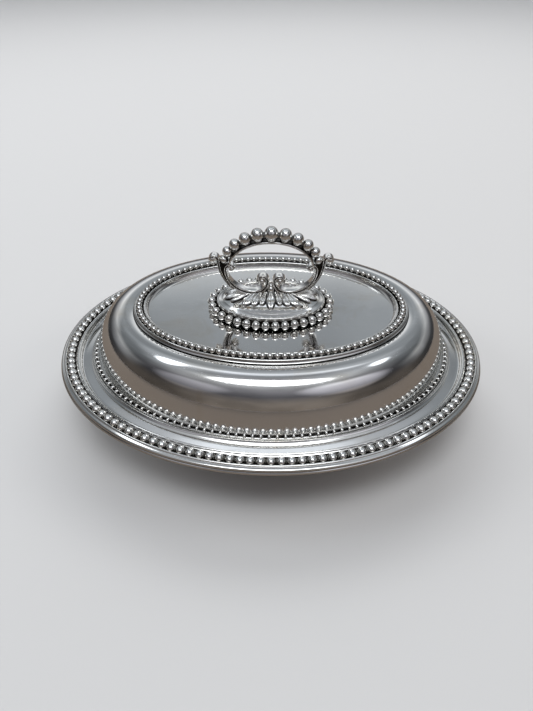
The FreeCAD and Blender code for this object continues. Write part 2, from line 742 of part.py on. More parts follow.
def make_foot(scrolls):
    dome = []
    for k, share in enumerate(PLATE_STEPS):
        dome.append(ellipse(f"plate_{k}", f"plate_long * {share}", f"plate_short * {share}",
                            f"plate_low + plate_rise * {1 - share * share}"))
    skirt = [
        ellipse("skirt_0", "grip_bead_row + 1", "grip_bead_short + 1", "skirt_low"),
        ellipse("skirt_1", "grip_bead_row + 1", "grip_bead_short + 1", "skirt_low + skirt_ledge"),
        ellipse("skirt_2", "plate_long + 1.6", "plate_short + 1.6", "skirt_low + skirt_ledge + 0.02"),
        ellipse("skirt_3", "plate_long + 1.4", "plate_short + 1.4", "plate_low - 0.5"),
        ellipse("skirt_4", "plate_long + 0.5", "plate_short + 0.5", "plate_low + 0.4"),
    ]
    hollow = [
        ellipse("hollow_0", "plate_long + 0.2", "plate_short + 0.2", "skirt_low - 1"),
        ellipse("hollow_1", "plate_long + 0.2", "plate_short + 0.2", "plate_low - 1.5"),
        ellipse("hollow_2", "plate_long * 0.8", "plate_short * 0.8", "plate_low + plate_rise * 0.36 - sheet"),
        ellipse("hollow_3", "plate_long * 0.3", "plate_short * 0.3", "plate_low + plate_rise * 0.9 - sheet"),
    ]
    shell = cut("foot_shell", loft("foot_dome", skirt + dome), loft("foot_hollow", hollow))
    column = doc.addObject("Part::Cylinder", "foot_column")
    column.setExpression("Radius", bound("boss"))
    column.setExpression("Height", bound("plate_low + plate_rise * 0.5 - panel_height - clearance"))
    column.setExpression("Placement.Base.z", bound("panel_height + clearance"))
    saddle = ellipse("saddle_0", "saddle_long", "saddle_short", "plate_low")
    saddle_top = ellipse("saddle_1", "saddle_long * 0.85", "saddle_short * 0.8", "plate_low + plate_rise + 3")
    solid = fuse("foot_solid", [shell, column, loft("saddle", [saddle, saddle_top])])
    bore = doc.addObject("Part::Cylinder", "foot_bore")
    bore.setExpression("Radius", bound("spigot"))
    bore.setExpression("Height", bound("5"))
    bore.setExpression("Placement.Base.z", bound("panel_height + clearance"))
    seats = fuse("foot_seats", list(scrolls) + [bore])
    return subpart(cut("foot_plate", solid, seats), "handle_foot")


def make_foot_beads(foot):
    """Large beads on the ledge of the handle's foot."""
    bead_row("handle_foot_beads", size("grip_bead_row"), size("grip_bead_short"), size("grip_bead_height"),
             size("grip_bead"), size("skirt_low") + size("skirt_ledge"), int(size("grip_bead_count")), first=0,
             backing=foot)


def lobe(across, along, width, thick):
    """One leaf lobe: a flattened egg from the root to its tip, lying on the plate."""
    reach = math.hypot(across, along)
    root_x, root_y = LEAF_ROOT * across / reach, LEAF_ROOT * along / reach
    root = Vector(root_x, root_y, plate_height(root_x, root_y))
    tip = Vector(across, along, plate_height(across, along))
    run = tip - root
    egg = Part.makeSphere(1.0)
    stretch = FreeCAD.Matrix()
    stretch.scale(run.Length / 2, width / 2, thick / 2)
    egg = egg.transformGeometry(stretch)
    turn = Rotation(Vector(0, 0, 1), math.degrees(math.atan2(run.y, run.x)))
    tilt = Rotation(Vector(0, 1, 0), -math.degrees(math.asin(run.z / run.Length)))
    egg.Placement = FreeCAD.Placement((root + tip) * 0.5, turn.multiply(tilt))
    return egg


def leaf_root(along, half_long, half_short, half_tall):
    """The raised round under the loop that a spray of lobes springs from."""
    round_root = Part.makeSphere(1.0)
    stretch = FreeCAD.Matrix()
    stretch.scale(half_long, half_short, half_tall)
    round_root = round_root.transformGeometry(stretch)
    round_root.Placement.Base = Vector(0, along, plate_height(0, along) + 0.4)
    return round_root


def leaf(label, lobes, root, flip, neighbours):
    """A spray of lobes fused into one leaf and cut back to the pieces that it lies against."""
    shape = leaf_root(root[0] * flip, *root[1:]) if root else None
    for across, along, width, thick in lobes:
        for side in ((1,) if across == 0 or along == 0 else (-1, 1)):
            egg = lobe(across * side * (flip if along == 0 else 1), along * flip, width, thick)
            shape = egg if shape is None else shape.fuse(egg)
    for neighbour in neighbours:
        shape = shape.cut(neighbour.Shape)
    return feature(label, max(shape.Solids, key=lambda solid: solid.Volume))


def make_leaves(foot, scrolls):
    neighbours = [foot] + list(scrolls)
    neighbours.append(leaf("handle_leaf_front", FRONT_LOBES, FRONT_ROOT, -1, neighbours))
    neighbours.append(leaf("handle_leaf_back", FRONT_LOBES, FRONT_ROOT, 1, neighbours))
    leaf("handle_leaf_left", SIDE_LOBES, None, -1, neighbours)
    leaf("handle_leaf_right", SIDE_LOBES, None, 1, neighbours)


# ---------------------------------------------------------------------------------------------------------
# Build, check and write
# ---------------------------------------------------------------------------------------------------------

make_dish()
make_dish_border()
make_dish_edge()
dome_solid = make_lid_shell()
doc.recompute()
make_lid_foot()
make_lid_foot_beads(dome_solid)
make_lid_collar()
make_top_border()
make_socket_plate()
make_stop_pins()
make_stud()
make_lock_bar()
scroll_pair = make_scrolls()
make_arch(scroll_pair)
doc.recompute()
make_arch_beads(scroll_pair)
foot_plate = make_foot(scroll_pair)
doc.recompute()
make_foot_beads(foot_plate)
make_leaves(foot_plate, scroll_pair)
doc.recompute()

for thing in doc.Objects:
    bad = {"Invalid", "Error"} & set(thing.State)
    if bad:
        raise RuntimeError(f"{thing.Name} is {', '.join(sorted(bad))}")

os.makedirs("parts", exist_ok=True)
for thing in subparts:
    shape = thing.Shape
    if shape.isNull() or not shape.isValid():
        raise RuntimeError(f"{thing.Label} has no valid shape")
    print(f"{thing.Label}: {len(shape.Solids)} solids, {shape.Volume / 1000:.2f} cm3")
for thing in subparts:
    thing.Shape.exportStep(f"parts/{thing.Label}.step")
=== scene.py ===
import math

import bpy
import numpy as np
from mathutils import Matrix, Vector


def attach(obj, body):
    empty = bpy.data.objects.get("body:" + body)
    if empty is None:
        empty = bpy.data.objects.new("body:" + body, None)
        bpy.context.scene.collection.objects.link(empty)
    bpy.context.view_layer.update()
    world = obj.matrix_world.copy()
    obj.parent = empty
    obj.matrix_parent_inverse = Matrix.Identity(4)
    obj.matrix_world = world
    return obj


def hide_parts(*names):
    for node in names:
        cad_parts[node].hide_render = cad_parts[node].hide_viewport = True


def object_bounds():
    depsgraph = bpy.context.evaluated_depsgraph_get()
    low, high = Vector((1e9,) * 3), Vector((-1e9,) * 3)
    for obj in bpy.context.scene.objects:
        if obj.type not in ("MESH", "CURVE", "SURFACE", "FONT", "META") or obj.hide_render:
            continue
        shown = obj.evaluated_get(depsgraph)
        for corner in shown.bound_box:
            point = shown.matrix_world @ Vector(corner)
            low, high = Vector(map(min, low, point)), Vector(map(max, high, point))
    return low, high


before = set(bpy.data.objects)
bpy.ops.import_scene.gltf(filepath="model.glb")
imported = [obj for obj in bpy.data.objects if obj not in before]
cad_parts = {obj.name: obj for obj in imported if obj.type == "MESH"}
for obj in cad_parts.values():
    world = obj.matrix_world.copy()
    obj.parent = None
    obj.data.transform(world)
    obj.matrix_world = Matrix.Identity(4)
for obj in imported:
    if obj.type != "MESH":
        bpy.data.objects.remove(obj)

# Looks for an oval silver-plated entree dish with a domed lid, beaded borders and a loop handle.
# Shapes are worked out in millimetres in the CAD frame, and each mesh is scaled to metres.

cad_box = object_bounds()

MM = 0.001
# Points round each ring of the dish and lid, and of the handle's foot.
AROUND, FOOT_AROUND = 512, 256
# Every ring of the dish and the lid has a short semi-axis this much less than its long one.
DISH_OFFSET = 32.5
# The same for the rings of the handle's foot.
FOOT_OFFSET = 13.0
# Thickness of the pressed sheets.
SHEET = 1.2

# ---------------------------------------------------------------------------------------------------------
# Meshes
# ---------------------------------------------------------------------------------------------------------


def turns(count):
    """Evenly spaced angles once round."""
    return np.linspace(0, 2 * math.pi, count, endpoint=False)


def oval_ring(long_axis, short_axis, up, count=AROUND):
    """A level oval of points round the axis."""
    turn = turns(count)
    return np.stack([long_axis * np.cos(turn), short_axis * np.sin(turn), np.full(count, up)], axis=-1)


def grid_faces(rows, columns, wrap_rows, wrap_columns, first=0):
    """Quads over a grid of vertices that is stored row by row."""
    row = np.arange(rows if wrap_rows else rows - 1)[:, None]
    column = np.arange(columns if wrap_columns else columns - 1)[None, :]
    next_row = (row + 1) % rows
    next_column = (column + 1) % columns
    corners = (row * columns + column, row * columns + next_column,
               next_row * columns + next_column, next_row * columns + column)
    quads = np.stack([np.broadcast_to(corner, (row.size, column.size)) for corner in corners], axis=-1)
    return (quads.reshape(-1, 4) + first).tolist()


class Shape:
    """Vertices, faces and a darkening value per vertex, gathered from several closed surfaces: oxide in hollows
    and painted shade under and between parts.
    """

    def __init__(self):
        self.points = []
        self.faces = []
        self.oxide_and_painted_shade = []
        self.count = 0

    def add(self, points, faces, oxide_and_painted_shade):
        points = np.asarray(points, dtype=float).reshape(-1, 3)
        self.points.append(points)
        self.faces.extend(faces)
        self.oxide_and_painted_shade.append(np.broadcast_to(np.asarray(oxide_and_painted_shade, dtype=float), (len(points),)))
        self.count += len(points)

    def tube(self, rings, oxide_and_painted_shade):
        """A closed skin through rings that meet again at the first, with one darkening value (oxide and painted
        shade) per ring.
        """
        rings = np.asarray(rings, dtype=float)
        rows, columns = rings.shape[:2]
        faces = grid_faces(rows, columns, True, True, self.count)
        self.add(rings, faces, np.repeat(np.asarray(oxide_and_painted_shade, dtype=float), columns))

    def ring(self, outline, oxide_and_painted_shade):
        """A closed outline of (long semi-axis, height), carried once round the dish's oval."""
        self.tube([oval_ring(across, across - DISH_OFFSET, up) for across, up in outline], oxide_and_painted_shade)

    def loft(self, rings, oxide_and_painted_shade=0.0):
        """A closed skin through loops with the same number of points, with a point-fan cap at each end."""
        rings = np.asarray(rings, dtype=float)
        rows, columns = rings.shape[:2]
        first = self.count
        faces = grid_faces(rows, columns, False, True, first)
        ends = rings[[0, -1]].mean(axis=1)
        cap = first + rows * columns
        for k in range(columns):
            after = (k + 1) % columns
            faces.append([cap, first + after, first + k])
            last = first + (rows - 1) * columns
            faces.append([cap + 1, last + k, last + after])
        values = np.broadcast_to(np.asarray(oxide_and_painted_shade, dtype=float), (rows, columns)).reshape(-1)
        points = np.concatenate([rings.reshape(-1, 3), ends])
        self.add(points, faces, np.concatenate([values, values[[0, -1]]]))

    def ball(self, centre, radii, segments=32, axis="z", oxide_and_painted_shade=None, frame_axes=None):
        """A ball or egg with its radii along the frame's axes. Its darkening (oxide and painted shade) is a
        function of the unit normals.
        """
        rows = segments // 2
        polar = np.linspace(0, math.pi, rows + 1)[1:-1, None]
        turn = turns(segments)[None, :]
        unit = np.stack([np.sin(polar) * np.cos(turn), np.sin(polar) * np.sin(turn),
                         np.broadcast_to(np.cos(polar), (rows - 1, segments))], axis=-1)
        poles = np.array([[0, 0, 1.0], [0, 0, -1.0]])
        if axis == "y":
            unit = unit[..., [0, 2, 1]] * (1, 1, -1)
            poles = poles[:, [0, 2, 1]]
        first = self.count
        faces = [face[::-1] for face in grid_faces(rows - 1, segments, False, True, first)]
        top = first + (rows - 1) * segments
        last = first + (rows - 2) * segments
        for k in range(segments):
            after = (k + 1) % segments
            faces.append([top, first + k, first + after])
            faces.append([top + 1, last + after, last + k])
        normals = np.concatenate([unit.reshape(-1, 3), poles])
        offsets = normals * np.asarray(radii)
        if frame_axes is not None:
            offsets = offsets @ np.asarray(frame_axes)
            normals = normals @ np.asarray(frame_axes)
        points = offsets + np.asarray(centre)
        self.add(points, faces, 0.0 if oxide_and_painted_shade is None else oxide_and_painted_shade(normals))

    def mesh(self, name, sharp):
        points = np.concatenate(self.points) * MM
        mesh = bpy.data.meshes.new(name)
        mesh.from_pydata(points.tolist(), [], self.faces)
        mesh.attributes.new("oxide_and_painted_shade", "FLOAT", "POINT").data.foreach_set("value", np.concatenate(self.oxide_and_painted_shade))
        mesh.shade_smooth()
        mesh.set_sharp_from_angle(angle=math.radians(sharp))
        return mesh


def piece(name, shape, material, body, replaced, sharp):
    """Make a Blender piece from a shape: it rides on a CAD body and stands for the listed CAD nodes."""
    thing = bpy.data.objects.new(name, shape.mesh(name, sharp))
    bpy.context.scene.collection.objects.link(thing)
    thing.data.materials.append(material)
    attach(thing, body)
    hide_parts(*replaced)


def cast_piece(name, shape, body, sharp):
    """A cast piece that stands for the CAD node of the same name."""
    piece(name, shape, CAST, body, (name,), sharp)


# ---------------------------------------------------------------------------------------------------------
# Outlines
# ---------------------------------------------------------------------------------------------------------


def arc(across, up, radius, start, end, steps, radius_up=None):
    """Points on an arc, angles in degrees counted from outwards to upwards."""
    turn = np.radians(np.linspace(start, end, steps + 1))
    return [(across + radius * math.cos(a), up + (radius_up or radius) * math.sin(a)) for a in turn]


def bulge(start, end, radius, side, steps=8):
    """Points on the arc from start to end that bulges right of the way there (side 1) or left (side -1)."""
    (x0, y0), (x1, y1) = start, end
    run = math.hypot(x1 - x0, y1 - y0)
    across = ((y1 - y0) / run * side, (x0 - x1) / run * side)
    rise = math.sqrt(max(radius * radius - run * run / 4, 0.0))
    cx, cy = (x0 + x1) / 2 - across[0] * rise, (y0 + y1) / 2 - across[1] * rise
    a0, a1 = math.atan2(y0 - cy, x0 - cx), math.atan2(y1 - cy, x1 - cx)
    if side > 0 and a1 < a0:
        a1 += 2 * math.pi
    if side < 0 and a1 > a0:
        a1 -= 2 * math.pi
    return arc(cx, cy, radius, math.degrees(a0), math.degrees(a1), steps)


def between(start, end, steps):
    """Evenly spaced points on a straight run, without its last point."""
    return [(start[0] + (end[0] - start[0]) * k / steps, start[1] + (end[1] - start[1]) * k / steps)
            for k in range(steps)]


def soft_corner(start, corner, end, steps=8):
    """A rounded corner: a quadratic curve from start to end that leans towards the corner."""
    return [tuple((1 - t) ** 2 * a + 2 * t * (1 - t) * b + t * t * c for a, b, c in zip(start, corner, end))
            for t in (k / steps for k in range(steps + 1))]


def shade(outline, *bands):
    """Oxide and painted shade along an outline: each band is (low across, high across, low up, high up, value)."""
    outline = np.asarray(outline)
    values = np.zeros(len(outline))
    for low_across, high_across, low_up, high_up, value in bands:
        inside = ((outline[:, 0] > low_across) & (outline[:, 0] < high_across)
                  & (outline[:, 1] > low_up) & (outline[:, 1] < high_up))
        values[inside] = value
    return values


def smooth_step(low, high, value):
    """0 below low and 1 above high, with a smooth change between."""
    t = np.clip((value - low) / (high - low), 0, 1)
    return t * t * (3 - 2 * t)


def oval_places(long_axis, short_axis, count, shift):
    """Evenly spaced places round an oval, the first one shifted by a part of the spacing from the front."""
    turn = np.linspace(0, 2 * math.pi, 7201) - math.pi / 2
    x, y = long_axis * np.cos(turn), short_axis * np.sin(turn)
    length = np.concatenate([[0], np.cumsum(np.hypot(np.diff(x), np.diff(y)))])
    wanted = (np.arange(count) + shift) / count * length[-1]
    angle = np.interp(wanted % length[-1], length, turn)
    return np.stack([long_axis * np.cos(angle), short_axis * np.sin(angle)], axis=-1), angle


# ---------------------------------------------------------------------------------------------------------
# Materials
# ---------------------------------------------------------------------------------------------------------


class Nodes:
    """Short calls for a material's node tree."""

    def __init__(self, tree):
        self.tree = tree

    def new(self, kind, **settings):
        node = self.tree.nodes.new(kind)
        for key, value in settings.items():
            setattr(node, key, value)
        return node

    def link(self, source, target):
        self.tree.links.new(source, target)

    def feed(self, node, socket, value):
        if hasattr(value, "is_output"):
            self.link(value, node.inputs[socket])
        else:
            node.inputs[socket].default_value = value

    def math(self, operation, first, second=0.0, third=None, clamp=False):
        node = self.new("ShaderNodeMath", operation=operation, use_clamp=clamp)
        self.feed(node, 0, first)
        self.feed(node, 1, second)
        if third is not None:
            self.feed(node, 2, third)
        return node.outputs[0]

    def dot(self, vector, axis):
        node = self.new("ShaderNodeVectorMath", operation="DOT_PRODUCT")
        self.link(vector, node.inputs[0])
        node.inputs[1].default_value = axis
        return node.outputs["Value"]

    def mapped(self, coordinates, rotation, scale):
        node = self.new("ShaderNodeMapping")
        self.link(coordinates, node.inputs["Vector"])
        node.inputs["Rotation"].default_value = rotation
        node.inputs["Scale"].default_value = scale
        return node.outputs[0]

    def noise(self, coordinates, scale, detail=2.0, roughness=0.5, distortion=0.0):
        node = self.new("ShaderNodeTexNoise")
        self.link(coordinates, node.inputs["Vector"])
        node.inputs["Scale"].default_value = scale
        node.inputs["Detail"].default_value = detail
        node.inputs["Roughness"].default_value = roughness
        node.inputs["Distortion"].default_value = distortion
        return node.outputs["Fac"]

    def span(self, value, low, high, to_low=0.0, to_high=1.0):
        node = self.new("ShaderNodeMapRange", interpolation_type="SMOOTHSTEP")
        self.link(value, node.inputs["Value"])
        for socket, number in (("From Min", low), ("From Max", high), ("To Min", to_low), ("To Max", to_high)):
            node.inputs[socket].default_value = number
        return node.outputs["Result"]

    def mix(self, factor, first, second):
        node = self.new("ShaderNodeMix", data_type="RGBA")
        self.feed(node, 0, factor)
        self.feed(node, 6, first)
        self.feed(node, 7, second)
        return node.outputs[2]


# Layers of fine scratches: turn about Z, noise scale, and how far along the noise the threshold lies.
SCRATCHES = ((0.35, 160.0, 0.70), (-0.9, 190.0, 0.70), (1.9, 150.0, 0.71), (2.6, 210.0, 0.70))


def silver(name, clean, warm, oxide, gloss, worn, scratch_depth):
    """Plated silver: clean metal with faint warm tarnish, fine scratches, and the dark oxide colour where the
    darkening attribute is high, which paints both oxide in hollows and shade under and between parts.
    """
    material = bpy.data.materials.new(name)
    material.use_nodes = True
    tree = Nodes(material.node_tree)
    shader = material.node_tree.nodes["Principled BSDF"]
    place = tree.new("ShaderNodeTexCoord").outputs["Object"]
    stain = tree.span(tree.noise(place, 34.0, 5.0, 0.6, 0.6), 0.48, 0.78)
    haze = tree.noise(place, 90.0, 4.0, 0.55)
    scratches = None
    for turn, scale, threshold in SCRATCHES:
        lines = tree.noise(tree.mapped(place, (0, 0, turn), (0.55, 12.0, 12.0)), scale, 2.0, 0.5, 0.6)
        layer = tree.span(lines, threshold, threshold + 0.07)
        scratches = layer if scratches is None else tree.math("MAXIMUM", scratches, layer)
    # Per-vertex darkening: oxide in hollows, and painted shade under beads, under the handle's foot and between
    # parts.
    oxide_and_painted_shade = tree.new("ShaderNodeAttribute", attribute_name="oxide_and_painted_shade").outputs["Fac"]
    mottle = tree.span(tree.noise(place, 420.0, 3.0, 0.6), 0.3, 0.7, 0.93, 1.2)
    dark = tree.math("MULTIPLY", oxide_and_painted_shade, mottle, clamp=True)
    tinted = tree.mix(tree.math("MULTIPLY", stain, 0.45), (*clean, 1), (*warm, 1))
    tree.link(tree.mix(dark, tinted, (*oxide, 1)), shader.inputs["Base Color"])
    rough = tree.span(haze, 0.3, 0.75, gloss, worn)
    rough = tree.math("MULTIPLY_ADD", scratches, 0.16, rough)
    rough = tree.math("MULTIPLY_ADD", dark, 0.35, rough, clamp=True)
    tree.link(rough, shader.inputs["Roughness"])
    shader.inputs["Metallic"].default_value = 1.0
    waves = tree.noise(place, 22.0, 2.0, 0.4)
    height = tree.math("MULTIPLY_ADD", scratches, -scratch_depth, waves)
    bump = tree.new("ShaderNodeBump")
    bump.inputs["Strength"].default_value = 1.0
    bump.inputs["Distance"].default_value = 0.00006
    tree.link(height, bump.inputs["Height"])
    tree.link(bump.outputs["Normal"], shader.inputs["Normal"])
    return material


# The third colour of each finish is its dark oxide, which also serves as painted shade.
POLISHED = silver("polished_silver", (0.86, 0.85, 0.83), (0.74, 0.66, 0.54), (0.045, 0.037, 0.028),
                  0.045, 0.11, 0.05)
CAST = silver("cast_silver", (0.91, 0.90, 0.87), (0.80, 0.73, 0.61), (0.02, 0.017, 0.014),
              0.04, 0.11, 0.05)
LOCK = silver("nickel_lock", (0.60, 0.58, 0.53), (0.48, 0.42, 0.33), (0.05, 0.045, 0.04),
              0.22, 0.40, 0.10)

# ---------------------------------------------------------------------------------------------------------
# Dish
# ---------------------------------------------------------------------------------------------------------

# Below this ring the family of ovals gives way to rings of one proportion, down to the centre.
PLAIN_RING = 80.0


def full_skin(shape, outline, oxide_and_painted_shade):
    """A closed sheet whose outline starts and ends on the axis: rings, with a single point at each end."""
    rings = []
    for across, up in outline:
        long_axis = max(across, 1e-3)
        if long_axis > PLAIN_RING:
            short_axis = long_axis - DISH_OFFSET
        else:
            short_axis = long_axis * (PLAIN_RING - DISH_OFFSET) / PLAIN_RING
        rings.append(oval_ring(long_axis, short_axis, up))
    shape.loft(rings, np.repeat(np.asarray(oxide_and_painted_shade)[:, None], AROUND, axis=1))


# Flat base, radius of its rounded heel, lean of the wall and height of the wall's top.
BASE_LONG, BASE_ROUND, LEAN, WALL_TOP = 97.0, 12.0, math.radians(14), 35.5
# Height of the flange, where it starts and where its level seat ends.
FLANGE, FLANGE_START, KNEE = 39.6, 117.5, 125.0
# Where the border starts, its height and the sheet's outer edge.
BORDER_START, BORDER_HEIGHT, SHEET_EDGE = 132.0, 42.0, 142.0


def bowl_side(inset):
    """Base, rounded heel and leaning wall, from the middle of the base to the top of the wall."""
    round_off = arc(BASE_LONG, BASE_ROUND, BASE_ROUND - inset, -90, -math.degrees(LEAN), 14)
    top = round_off[-1][0] + (WALL_TOP - round_off[-1][1]) * math.tan(LEAN)
    wall = between(round_off[-1], (top, WALL_TOP), 6)[1:] + [(top, WALL_TOP)]
    floor = [(BASE_LONG * share, inset) for share in (0, 0.02, 0.1, 0.25, 0.45, 0.65, 0.8, 0.9)]
    return floor + round_off + wall


def flange_side(drop):
    """Shoulder, level seat, slight fall and quick rise to the border, from the wall outwards."""
    start, level = FLANGE_START + drop, FLANGE - drop
    shoulder = soft_corner((start - 1.6, WALL_TOP + 0.9), (start - 0.9, level), (start + 1.2, level))
    seat = between((start + 1.6, level), (KNEE, level), 4)
    low_point = (BORDER_START - 1.8, level - 0.5)
    fall = between((KNEE, level), low_point, 4)
    rise = soft_corner(low_point, (BORDER_START - 0.5, level - 0.6), (BORDER_START + 0.2, BORDER_HEIGHT - drop))
    return shoulder + seat + fall + rise


def make_dish_sheet():
    shape = Shape()
    under = bowl_side(0.0) + flange_side(SHEET)
    edge = [(SHEET_EDGE, BORDER_HEIGHT - SHEET), (SHEET_EDGE, BORDER_HEIGHT)]
    upper = bowl_side(SHEET) + flange_side(0.0)
    outline = under + edge + upper[::-1]
    # Painted shade, with oxide, where the sheet runs under the border strip.
    full_skin(shape, outline, shade(outline, (BORDER_START - 1.0, BORDER_START + 9, 41.6, 43, 0.7)))
    piece("dish_sheet", shape, POLISHED, "dish", ("dish_bowl", "dish_flange"), 35)


# Height of the border strip's dark channel.
STRIP_FLOOR = 42.7


def make_dish_border():
    """Struck strip: an inner and an outer wire with a dark channel between them: oxide and painted shade under the
    beads.
    """
    outline = ([(BORDER_START, 41.9), (SHEET_EDGE, 41.9)]
               + arc(141.4, 43.3, 0.7, -40, 165, 12)
               + [(140.5, STRIP_FLOOR + 0.1), (139.6, STRIP_FLOOR), (137.4, STRIP_FLOOR), (135.6, STRIP_FLOOR)]
               + bulge((135.0, STRIP_FLOOR), (134.0, 43.1), 3.0, -1, 5)
               + arc(133.1, 43.1, 0.9, 8, 178, 12)
               + [(131.9, 42.4)])
    dark = shade(outline, (134.5, 140.6, 42, 43.3, 1.0), (131.0, 132.0, 41, 42.5, 0.8))
    shape = Shape()
    shape.ring(outline, dark)
    cast_piece("dish_border_strip", shape, "dish", 50)


def bead_dark(normals, along):
    """Painted shade low on a bead, and oxide with painted shade where it faces its neighbours in the row."""
    low = 1.0 - smooth_step(-0.6, -0.1, normals[:, 2])
    sides = smooth_step(0.8, 0.99, np.abs(normals @ along)) * (1.0 - smooth_step(0.0, 0.5, normals[:, 2]))
    return np.maximum(low, sides * 0.9)


def row_axes(angle, long_axis, short_axis):
    """Unit vectors along a bead row and square to it."""
    along = np.array([-long_axis * math.sin(angle), short_axis * math.cos(angle), 0.0])
    along /= np.linalg.norm(along)
    return along, np.array([-along[1], along[0], 0.0])


def add_reel(shape, centre, along, across, half_along, half_across):
    """A thin barrel that lies across the row."""
    rings = []
    for tilt in np.radians(np.linspace(-80, 80, 9)):
        size = max(math.cos(tilt), 0.15)
        middle = centre + across * half_across * math.sin(tilt)
        rings.append([middle + along * half_along * size * math.cos(turn)
                      + (0, 0, half_across * size * math.sin(turn)) for turn in turns(12)])
    # The reels are painted part dark: oxide and painted shade between the beads.
    shape.loft(rings, 0.35)


def make_bead_row(name, body, axes, radii, height, count, shift, segments, reel=None, dark=bead_dark):
    """A row of beads round an oval, with a reel (half along, half across, drop) in each gap if it has them."""
    shape = Shape()
    places, angles = oval_places(*axes, count, shift)
    for (x, y), angle in zip(places, angles):
        along, across = row_axes(angle, *axes)
        shape.ball((x, y, height), radii, segments, oxide_and_painted_shade=lambda normals, along=along: dark(normals, along),
                   frame_axes=(along, across, (0.0, 0.0, 1.0)))
    if reel:
        half_along, half_across, drop = reel
        places, angles = oval_places(*axes, count, shift + 0.5)
        for (x, y), angle in zip(places, angles):
            along, across = row_axes(angle, *axes)
            add_reel(shape, np.array([x, y, height - drop]), along, across, half_along, half_across)
    cast_piece(name, shape, body, 60)


def make_dish_edge():
    """Reeded edge: a main reed below a smaller one, with a fine groove between them."""
    outline = ([(142.0, 39.2), (143.2, 38.95)]
               + arc(143.8, 39.98, 1.2, -105, 58, 16)
               + [(144.28, 41.12)]
               + arc(143.3, 41.95, 1.02, -28, 78, 12)
               + soft_corner((143.35, 43.02), (142.7, 43.1), (142.05, 43.35), 5)
               + [(141.95, 42.6)])
    # Oxide in the fine groove, and oxide with painted shade where the edge meets the strip.
    dark = shade(outline, (144.1, 144.4, 41.0, 41.3, 1.0), (141.0, 142.3, 43.0, 43.6, 0.6))
    shape = Shape()
    shape.ring(outline, dark)
    cast_piece("dish_edge_wire", shape, "dish", 50)


# ---------------------------------------------------------------------------------------------------------
# Lid
# ---------------------------------------------------------------------------------------------------------

# The dome's section: the points of its curve, the hem below its foot and the fall from its crown to the panel.
DOME_CURVE = np.array(((120.5, 44.8), (116.2, 55.2), (113.0, 74.2), (96.5, 74.2)))
DOME_HEM = [(119.5, 43.6)]
DOME_FALL = [(95.0, 74.16), (93.4, 73.98), (92.2, 73.7), (91.3, 73.45)]
# The panel's long semi-axis and height, and the shares of the way to its edge at which it has rings.
PANEL_LONG, PANEL = 90.6, 73.0
PANEL_SHARES = (1.0, 0.94, 0.85, 0.7, 0.5, 0.3, 0.12, 0.0)
KEY_HOLE, SLOT_HALF, SLOT_HALF_WIDTH = 5.2, 13.0, 4.7


def key_ring(up):
    """The keyhole's edge, with one point for each direction round the oval."""
    turn = turns(AROUND)
    c, s = np.abs(np.cos(turn)), np.abs(np.sin(turn))
    reach = np.minimum(SLOT_HALF / np.maximum(c, 1e-6), SLOT_HALF_WIDTH / np.maximum(s, 1e-6))
    reach = np.maximum(reach, KEY_HOLE)
    return np.stack([reach * np.cos(turn), reach * np.sin(turn), np.full(AROUND, up)], axis=-1)


def panel_ring(share, up, long_axis):
    """A ring of the panel between the keyhole (share 0) and the panel's edge (share 1)."""
    return key_ring(up) * (1 - share) + oval_ring(long_axis, long_axis - DISH_OFFSET, up) * share


def dome_profile(steps, inset):
    """The dome's section from its leaning foot to the crown and on down to the panel, moved in by the inset."""
    foot, lean, crown, top = DOME_CURVE
    curve = [tuple((1 - t) ** 3 * foot + 3 * t * (1 - t) ** 2 * lean + 3 * t * t * (1 - t) * crown + t ** 3 * top)
             for t in np.linspace(0, 1, steps)]
    points = np.array(DOME_HEM + curve + DOME_FALL)
    along = np.gradient(points, axis=0)
    along /= np.linalg.norm(along, axis=1)[:, None]
    return points - inset * np.stack([along[:, 1], -along[:, 0]], axis=-1)


def make_lid_shell():
    rings = []
    oxide_and_painted_shade = []
    for across, up in dome_profile(56, 0.0):
        rings.append(oval_ring(across, across - DISH_OFFSET, up))
        # Painted shade at the foot of the dome behind the small beads; the inner faces get a little painted shade
        # too.
        oxide_and_painted_shade.append(0.85 * (1 - smooth_step(44.6, 46.0, up)) if across > 110 else 0.0)
    for share in PANEL_SHARES:
        rings.append(panel_ring(share, PANEL, PANEL_LONG - 0.4))
        oxide_and_painted_shade.append(0.0)
    for share in PANEL_SHARES[::-1]:
        rings.append(panel_ring(share, PANEL - SHEET, PANEL_LONG - 1.0))
        oxide_and_painted_shade.append(0.1)
    for across, up in dome_profile(40, SHEET)[::-1]:
        rings.append(oval_ring(across, across - DISH_OFFSET, up))
        oxide_and_painted_shade.append(0.1)
    shape = Shape()
    shape.tube(rings, oxide_and_painted_shade)
    piece("lid_shell", shape, POLISHED, "lid", ("lid_dome", "lid_panel"), 35)


def make_lid_foot():
    """Flared foot: rolled lip, cove, a fine step, then a wire under the small beads."""
    low = 39.9
    outline = ([(118.4, low), (122.0, low)]
               + arc(124.5, low + 0.42, 0.42, -90, 80, 8)
               + bulge((124.3, low + 0.95), (122.6, 42.1), 3.6, -1, 8)
               + [(122.55, 42.3), (122.3, 42.4), (122.1, 42.35)]
               + arc(121.35, 42.8, 0.62, -20, 150, 9)
               + [(120.6, 43.1), (118.4, 43.4)])
    # Oxide in the fine step, and painted shade under the small beads.
    dark = shade(outline, (121.9, 122.4, 42.2, 42.5, 1.0), (118, 120.9, 43, 44, 0.7))
    shape = Shape()
    shape.ring(outline, dark)
    cast_piece("lid_foot_band", shape, "lid", 50)


